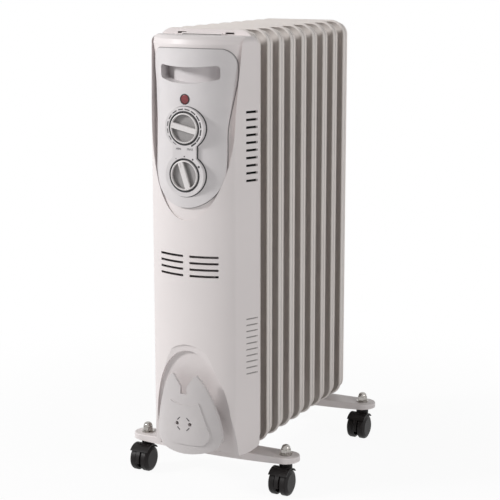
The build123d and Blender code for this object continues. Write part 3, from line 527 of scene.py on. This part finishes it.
def corner_ring(name, convex, is_wall, is_ground, reach):
    """The closed ring of edges where a wall of a CAD node meets the ground beside it.

    Each entry is a point with the directions that the wall and the ground face there.
    The ring starts at the edge that reaches furthest.
    """
    bm = bmesh.new()
    bm.from_mesh(NODES[name].data)
    bmesh.ops.remove_doubles(bm, verts=bm.verts, dist=2e-6)
    bm.normal_update()
    sides = {}
    for edge in bm.edges:
        if len(edge.link_faces) != 2 or edge.is_convex != convex:
            continue
        one, other = (face.normal for face in edge.link_faces)
        for wall, ground in ((one, other), (other, one)):
            if is_wall(wall) and is_ground(ground):
                sides[edge] = (wall, ground)
    first = max(sides, key=lambda edge: max(reach(vert.co) for vert in edge.verts))
    edge, corner, ring = first, first.verts[0], []
    while not ring or edge is not first:
        following = next(e for e in corner.link_edges if e in sides and e is not edge)
        walls, grounds = zip(sides[edge], sides[following])
        wall = sum(walls, Vector()).normalized()
        ground = sum(grounds, Vector()).normalized()
        ring.append((corner.co.copy(), wall, ground))
        edge, corner = following, following.other_vert(corner)
    bm.free()
    return ring


def strip_on(bm, ring, away, narrow, wide, sunk, proud):
    """A flat strip on the ground of a corner ring, some way from its wall; where wide exceeds narrow, it is
    wider at the right, as painted shadow falling to the right.
    """
    rows = []
    for point, wall, ground in ring:
        out = (wall - ground * wall.dot(ground)).normalized()
        far = away + narrow + (wide - narrow) * max(0.0, out.x)
        rows.append([
            bm.verts.new(point + out * across + ground * up)
            for across, up in ((away, -sunk), (far, -sunk), (far, proud), (away, proud))
        ])
    for row, following in zip(rows, rows[1:] + rows[:1]):
        for corner in range(4):
            beside = (corner + 1) % 4
            bm.faces.new((row[corner], row[beside], following[beside], following[corner]))


class HEATER_OT_fins(bpy.types.Operator):
    """Enamel the nine fins, with their channel corners and a painted shade line on each lip"""

    bl_idname = "heater.fins"
    bl_label = "Fins"

    def execute(self, context):
        colours = settings()[0]
        fins = [name for name in NODES if name.startswith("fin_")]
        enamel = enamel_finish("Fin enamel", colours.fin, 0.42)
        wear(fins, enamel)
        corners = bmesh.new()
        lip_shades = bmesh.new()
        for name in fins:
            self.press_corners(corners, name)
            self.shade_lip_line(lip_shades, name)
        keep_piece(corners, "channel_corners", RADIATOR, enamel)
        # Painted shade: a darker strip round each fin's lip
        lip_shade_finish = enamel_finish("Fin lip shade", tone(colours.fin, LIP_SHADE_TONE), 0.5)
        keep_piece(lip_shades, "fin_lip_shade", RADIATOR, lip_shade_finish)
        return {"FINISHED"}

    def press_corners(self, bm, name):
        """The corners of a fin's oil channel, on both sheets, over the holes that its solid has there."""
        web_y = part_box(name)[0][1] + WEB_BEHIND_COLLAR
        mid_z = middle_z(name)
        slope = math.tan(CHANNEL_DRAFT)
        section = [(radius - slope * up, up) for radius, up in CHANNEL_SKIN]
        section += CHANNEL_ROOT
        for side, end, sheet in product((-1, 1), repeat=3):
            x = side * CHANNEL_CENTRE_X
            z = mid_z + end * CHANNEL_CENTRE_UP
            corners = [bm.verts.new((x + side * radius, web_y + sheet * up, z)) for radius, up in section]
            face = bm.faces.new(corners)
            bmesh.ops.spin(
                bm, geom=[*corners, *face.edges, face], cent=(x, 0, z), axis=(0, -side * end, 0),
                angle=math.radians(90), steps=CHANNEL_STEPS, use_merge=False, use_normal_flip=False,
                use_duplicate=False,
            )

    def shade_lip_line(self, bm, name):
        """A darker strip on a fin's lip beside the hem: painted shade, standing in for the shade of a groove.
        """
        shallow, steep = LIP_LEAN
        hem = corner_ring(
            name, False, lambda n: n.y < -FACING, lambda n: shallow < n.y < steep, lambda p: abs(p.x)
        )
        strip_on(bm, hem, LIP_SHADE_FROM_HEM, LIP_SHADE_WIDTH, LIP_SHADE_WIDTH, LIP_SHADE_SUNK, LIP_SHADE_PROUD)


class HEATER_OT_box(bpy.types.Operator):
    """Enamel the control box, its back plate and the feet, and fit the box's small trim and its painted shade
    pieces
    """

    bl_idname = "heater.box"
    bl_label = "Box and feet"

    def execute(self, context):
        colours = settings()[0]
        enamel = enamel_finish("Cover enamel", colours.cover, 0.46)
        wear(["front_cover", "control_housing", "back_plate", "front_foot", "rear_foot"], enamel)
        # Painted shade: a dark sheet behind the side slots
        self.shade_slots(moulded_finish("Slot shade sheet", colours.slot_shade, 0.9, shine=0.1))
        # Painted shade for the louvres' floors and for the line in front of the clip
        shade = enamel_finish("Louvre painted shade", colours.louvre, 0.6)
        self.shade_louvres(shade)
        self.fit_clip(enamel, shade)
        return {"FINISHED"}

    def shade_slots(self, slot_shade_finish):
        """A dark sheet behind the open slots at the cover's sides: painted shade for the box's dark inside.
        """
        x, y, z = SLOT_SHADE_AT
        bm = bmesh.new()
        for side in (-1, 1):
            place = Matrix.Translation((side * x, y, z)) @ Matrix.Rotation(-side * SLOT_SHADE_TURN, 4, "Z")
            add_box(bm, place, SLOT_SHADE_SIZE)
        keep_piece(bm, "vent_shade_sheet", RADIATOR, slot_shade_finish)

    def shade_louvres(self, shade):
        """Painted shade: dark strips on the floors of the closed louvres, where the shade falls in the
        grooves.
        """
        cover = NODES["front_cover"]
        bm = bmesh.new()
        for side, row in product((-1, 1), range(LOUVRE_COUNT)):
            z = LOUVRE_LOW_Z + LOUVRE_PITCH * row
            front, rear = (
                cover.ray_cast((side * OUTSIDE_X, y, z), (-side, 0, 0))[1] for y in LOUVRE_ENDS_Y
            )
            along = rear - front
            turn = math.atan2(along.y, along.x) - math.radians(90)
            proud = Vector((side * LOUVRE_SHADE_PROUD, 0, 0))
            place = Matrix.Translation((front + rear) / 2 + proud) @ Matrix.Rotation(turn, 4, "Z")
            add_box(bm, place, (LOUVRE_SHADE_THICK, along.length, LOUVRE_SHADE_HIGH))
        keep_piece(bm, "louvre_shade", RADIATOR, shade)

    def fit_clip(self, enamel, shade):
        """The spring clip over the tab on the cover's top, and a dark strip in front of it: painted shadow
        under the tab's edge.
        """
        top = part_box("control_housing")[1][2]
        bm = bmesh.new()
        add_box(bm, Matrix.Translation((0, CLIP_Y, top + CLIP_SIZE[2] / 2)), CLIP_SIZE)
        bmesh.ops.bevel(
            bm, geom=bm.edges[:], offset=CLIP_ROUND, offset_type="OFFSET", affect="EDGES", segments=3,
            profile=0.5, material=-1,
        )
        keep_piece(bm, "clip_bar", RADIATOR, enamel)
        bm = bmesh.new()
        # Painted shadow: a dark strip under the front edge of the clip's tab
        add_box(bm, Matrix.Translation((0, CLIP_SHADOW_Y, top + CLIP_SHADOW_RISE)), CLIP_SHADOW_SIZE)
        keep_piece(bm, "clip_shadow_line", RADIATOR, shade)


class HEATER_OT_panel(bpy.types.Operator):
    """Finish the control panel, the knobs and the lens, print the dial marks, and paint shade round the
    knobs, behind the panel's edge and at the plateau's foot
    """

    bl_idname = "heater.panel"
    bl_label = "Panel"

    def execute(self, context):
        colours, marks, _ = settings()
        wear(["control_panel"], moulded_finish("Panel plastic", colours.panel, 0.42))
        knob_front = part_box("thermostat_knob")[0][1]
        wear(["thermostat_knob", "switch_knob"], knob_light_and_shade_finish("Knob plastic", colours.knob, knob_front))
        wear(["indicator_lens"], lens_finish("Lens red", colours.lens))
        print_and_shade = moulded_finish("Dial print and painted shade", colours.print_and_shade, 0.6)
        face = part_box("control_panel")[0][1]
        self.print_scale(marks, face, print_and_shade)
        self.print_dots(marks, face, print_and_shade)
        self.print_words(marks, face, print_and_shade)
        self.ring_lens(marks, print_and_shade)
        self.ring_dials(marks, face, print_and_shade)
        self.shade_panel_edge(moulded_finish("Panel edge shade", colours.edge_shade, 0.6))
        self.shade_plateau_foot(marks, print_and_shade)
        return {"FINISHED"}

    def print_scale(self, marks, face, print_and_shade):
        """The thermostat's dashes, which grow from cool to hot."""
        bm = bmesh.new()
        for index in range(marks.dashes):
            part = index / (marks.dashes - 1)
            length = DASH_LENGTH + DASH_LENGTH_GAIN * part
            height = DASH_HEIGHT + DASH_HEIGHT_GAIN * part
            place = round_axis(face, marks.thermostat_z, SCALE_START + SCALE_SWEEP * part, marks.ring)
            add_box(bm, place, (length, 2 * INK_HALF, height))
        keep_piece(bm, "thermostat_scale", RADIATOR, print_and_shade)

    def print_dots(self, marks, face, print_and_shade):
        """The heat switch's dots, which grow with the heat."""
        bm = bmesh.new()
        for index, turn in enumerate(DOT_TURNS):
            radius = DOT_RADIUS + DOT_RADIUS_GAIN * index
            place = round_axis(face, marks.switch_z, turn, marks.ring)
            bmesh.ops.create_cone(
                bm, cap_ends=True, segments=20, radius1=radius, radius2=radius, depth=2 * INK_HALF,
                matrix=place @ Matrix.Rotation(math.radians(90), 4, "X"),
            )
        keep_piece(bm, "switch_dots", RADIATOR, print_and_shade)

    def print_words(self, marks, face, print_and_shade):
        """The words at the two ends of the thermostat's scale."""
        for word, side in WORD_SIDES:
            curve = bpy.data.curves.new(f"{word.lower()}_word", "FONT")
            curve.body = word
            curve.size = WORD_SIZE
            curve.align_x = "CENTER"
            curve.extrude = WORD_HALF
            text = bpy.data.objects.new("word", curve)
            bpy.context.scene.collection.objects.link(text)
            bpy.context.view_layer.update()
            mesh = bpy.data.meshes.new_from_object(text)
            bpy.data.objects.remove(text)
            place = Matrix.Translation((side * WORD_X, face, marks.thermostat_z - WORD_DROP))
            mesh.transform(place @ Matrix.Rotation(math.radians(90), 4, "X"))
            bm = bmesh.new()
            bm.from_mesh(mesh)
            bmesh.ops.remove_doubles(bm, verts=bm.verts, dist=1e-6)
            keep_piece(bm, f"mark_{word.lower()}", RADIATOR, print_and_shade)

    def ring_lens(self, marks, print_and_shade):
        """The bezel round the indicator lens."""
        low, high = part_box("indicator_lens")
        front, rear = low[1], low[1] + BEZEL_DEEP
        inner = high[0] + BEZEL_GAP
        outer = inner + BEZEL_WIDTH
        bm = bmesh.new()
        section = (inner, front), (outer, front + BEZEL_SLOPE), (outer, rear), (inner, rear)
        spin_ring(bm, marks.lens_z, section)
        keep_piece(bm, "lens_bezel", RADIATOR, print_and_shade)

    def ring_dials(self, marks, face, print_and_shade):
        """Painted shade down in the gap round each knob, and the printed line on the rim of its well."""
        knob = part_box("thermostat_knob")[1][0]
        gap, well, rim = knob + GAP_RING, knob + WELL_RING, knob + RIM_RING
        bm = bmesh.new()
        for z in (marks.thermostat_z, marks.switch_z):
            # Painted shade down in the gap round the knob
            spin_ring(bm, z, ring_section(gap, well, face + GAP_FRONT, face + GAP_REAR))
            spin_ring(bm, z, ring_section(well, rim, face - INK_HALF, face + INK_HALF))
        keep_piece(bm, "dial_rings", RADIATOR, print_and_shade)

    def shade_panel_edge(self, rubber):
        """A dark strip that shows behind the panel's edge: painted shade."""
        edge = corner_ring(
            "control_panel", True, lambda n: abs(n.y) < FACING, lambda n: n.y > FACING, lambda p: abs(p.x)
        )
        behind = [(point, wall, -ground) for point, wall, ground in edge]
        bm = bmesh.new()
        # Painted shade: the dark strip round the panel's edge
        strip_on(bm, behind, 0, EDGE_SHADE_WIDTH, EDGE_SHADE_WIDTH, EDGE_SHADE_SUNK, EDGE_SHADE_PROUD)
        keep_piece(bm, "panel_edge_shade", RADIATOR, rubber)

    def shade_plateau_foot(self, marks, print_and_shade):
        """Painted shadow: a dark line at the foot of the plateau that carries the two dials, wider at the
        right, where the shadow falls.
        """
        foot = corner_ring(
            "control_panel", False, lambda n: abs(n.y) < UPRIGHT, lambda n: n.y < -FACING,
            lambda p: -abs(p.x - PLATEAU_SIDE_X) - abs(p.z - marks.thermostat_z),
        )
        bm = bmesh.new()
        # Painted shadow at the plateau's foot, widest on the side away from the key lamp
        strip_on(bm, foot, 0, PLATEAU_SHADE_NARROW, PLATEAU_SHADE_WIDE, PLATEAU_SHADE_SUNK, PLATEAU_SHADE_PROUD)
        keep_piece(bm, "dial_plateau_shade", RADIATOR, print_and_shade)


class HEATER_OT_hook(bpy.types.Operator):
    """Finish the cord hook and print the dashes round its plug holes"""

    bl_idname = "heater.hook"
    bl_label = "Cord hook"

    def execute(self, context):
        colours, marks, _ = settings()
        wear(["cord_hook"], moulded_finish("Hook plastic", colours.hook, 0.45))
        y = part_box("cord_hook")[0][1] + PLUG_DASH_BEHIND
        bm = bmesh.new()
        for turn in PLUG_DASH_TURNS:
            add_box(bm, round_axis(y, marks.plug_z, turn, marks.plug_ring), PLUG_DASH_SIZE)
        keep_piece(bm, "plug_dashes", RADIATOR, bpy.data.materials["Dial print and painted shade"])
        return {"FINISHED"}


class HEATER_OT_castors(bpy.types.Operator):
    """Finish the castors and their wheels"""

    bl_idname = "heater.castors"
    bl_label = "Castors"

    def execute(self, context):
        colours = settings()[0]
        nylon = moulded_finish("Castor nylon", colours.castor, 0.42, grain=1100.0, depth=0.1, shine=0.2)
        wear([name for name in NODES if name.startswith(("castor_front", "castor_rear", "wheel_"))], nylon)
        return {"FINISHED"}


class HEATER_OT_metalwork(bpy.types.Operator):
    """Finish the nuts, bolts, rods, stems and axles"""

    bl_idname = "heater.metalwork"
    bl_label = "Metalwork"

    def execute(self, context):
        colours = settings()[0]
        wear(["dome_nuts", "washers"], metal_finish("Chrome", colours.chrome, 0.10, (1, 1, 0.1)))
        zinc = metal_finish("Zinc plate", colours.zinc, 0.34, (1, 1, 0.15))
        wear(["u_bolts", "wing_nuts", "castor_stems", "cover_screws"], zinc)
        wear([name for name in NODES if name.startswith("axle_")], zinc)
        return {"FINISHED"}


class HEATER_OT_insides(bpy.types.Operator):
    """Finish the pieces inside the control box and the oil column"""

    bl_idname = "heater.insides"
    bl_label = "Insides"

    def execute(self, context):
        colours = settings()[0]
        steel = metal_finish("Element steel", colours.steel, 0.4, (1, 0.1, 1))
        wear(["heating_elements", "element_flange", "filler_plug", "thermostat_shaft", "switch_shaft"], steel)
        dark = moulded_finish("Dark phenolic", colours.phenolic, 0.5)
        wear(["indicator_lamp", "thermostat_body", "switch_body", "thermal_cutout", "terminal_block"], dark)
        wear(["cord_gland"], moulded_finish("Gland rubber", colours.gland, 0.6))
        wear(["control_nuts"], metal_finish("Brass", colours.brass, 0.3, (1, 1, 1)))
        return {"FINISHED"}


class HEATER_OT_stage(bpy.types.Operator):
    """Set the floor, the lamps, the room light and the camera"""

    bl_idname = "heater.stage"
    bl_label = "Stage"

    def execute(self, context):
        colours, _, stage = settings()
        self.lay_floor(floor_finish("Floor paper", colours.floor))
        self.hang_lamp("key_lamp", KEY_AT, KEY_SIZE, stage.key)
        self.hang_lamp("side_lamp", SIDE_AT, SIDE_SIZE, stage.side)
        self.light_room(stage)
        self.place_camera(stage)
        return {"FINISHED"}

    def lay_floor(self, paper):
        """A wide flat floor under the castors."""
        bm = bmesh.new()
        bmesh.ops.create_grid(bm, x_segments=1, y_segments=1, size=FLOOR_HALF)
        mesh = bpy.data.meshes.new("floor")
        bm.to_mesh(mesh)
        bm.free()
        mesh.materials.append(paper)
        floor = bpy.data.objects.new("floor", mesh)
        bpy.context.scene.collection.objects.link(floor)

    def hang_lamp(self, name, spot, size, power):
        """A soft round lamp that points at the heater."""
        light = bpy.data.lights.new(name, "AREA")
        light.shape = "DISK"
        light.size = size
        light.energy = power
        lamp = bpy.data.objects.new(name, light)
        lamp.location = spot
        lamp.rotation_euler = (Vector(LAMP_TARGET) - Vector(spot)).to_track_quat("-Z", "Y").to_euler()
        bpy.context.scene.collection.objects.link(lamp)

    def light_room(self, stage):
        """Even light from all sides, in front of a white backdrop."""
        world = bpy.data.worlds.new("Room")
        bpy.context.scene.world = world
        world.use_nodes = True
        nodes = world.node_tree.nodes
        links = world.node_tree.links
        room = nodes["Background"]
        room.inputs["Color"].default_value = (1, 1, 1, 1)
        room.inputs["Strength"].default_value = stage.sky
        white = nodes.new("ShaderNodeBackground")
        white.inputs["Color"].default_value = (1, 1, 1, 1)
        white.inputs["Strength"].default_value = 1.0
        mix = nodes.new("ShaderNodeMixShader")
        links.new(seen_directly(nodes, links), mix.inputs["Fac"])
        links.new(room.outputs["Background"], mix.inputs[1])
        links.new(white.outputs["Background"], mix.inputs[2])
        links.new(mix.outputs["Shader"], nodes["World Output"].inputs["Surface"])

    def place_camera(self, stage):
        """A long lens at the front right, a little above the heater."""
        data = bpy.data.cameras.new("camera")
        data.lens = CAMERA_LENS
        data.sensor_width = CAMERA_SENSOR
        data.shift_x, data.shift_y = CAMERA_SHIFT
        camera = bpy.data.objects.new("camera", data)
        camera.location = CAMERA_AT
        camera.rotation_euler = (math.radians(90) - stage.elevation, 0, stage.azimuth)
        bpy.context.scene.collection.objects.link(camera)
        bpy.context.scene.camera = camera
        bpy.context.scene.view_settings.view_transform = "Standard"


STEPS = (
    HEATER_OT_fins,
    HEATER_OT_box,
    HEATER_OT_panel,
    HEATER_OT_hook,
    HEATER_OT_castors,
    HEATER_OT_metalwork,
    HEATER_OT_insides,
    HEATER_OT_stage,
)


class HEATER_PT_tools(bpy.types.Panel):
    """The heater's steps and sizes"""

    bl_label = "Heater"
    bl_idname = "HEATER_PT_tools"
    bl_space_type = "VIEW_3D"
    bl_region_type = "UI"
    bl_category = "Heater"

    def draw(self, context):
        for step in STEPS:
            self.layout.operator(step.bl_idname)
        for group in settings():
            for name in group.__annotations__:
                self.layout.prop(group, name)


CLASSES = (HeaterColours, HeaterMarks, HeaterStage, *STEPS, HEATER_PT_tools)


def register():
    for item in CLASSES:
        bpy.utils.register_class(item)
    bpy.types.Scene.heater_colours = PointerProperty(type=HeaterColours)
    bpy.types.Scene.heater_marks = PointerProperty(type=HeaterMarks)
    bpy.types.Scene.heater_stage = PointerProperty(type=HeaterStage)


def unregister():
    del bpy.types.Scene.heater_stage
    del bpy.types.Scene.heater_marks
    del bpy.types.Scene.heater_colours
    for item in reversed(CLASSES):
        bpy.utils.unregister_class(item)


def main():
    register()
    bpy.ops.heater.fins()
    bpy.ops.heater.box()
    bpy.ops.heater.panel()
    bpy.ops.heater.hook()
    bpy.ops.heater.castors()
    bpy.ops.heater.metalwork()
    bpy.ops.heater.insides()
    bpy.ops.heater.stage()


if __name__ == "__main__":
    main()
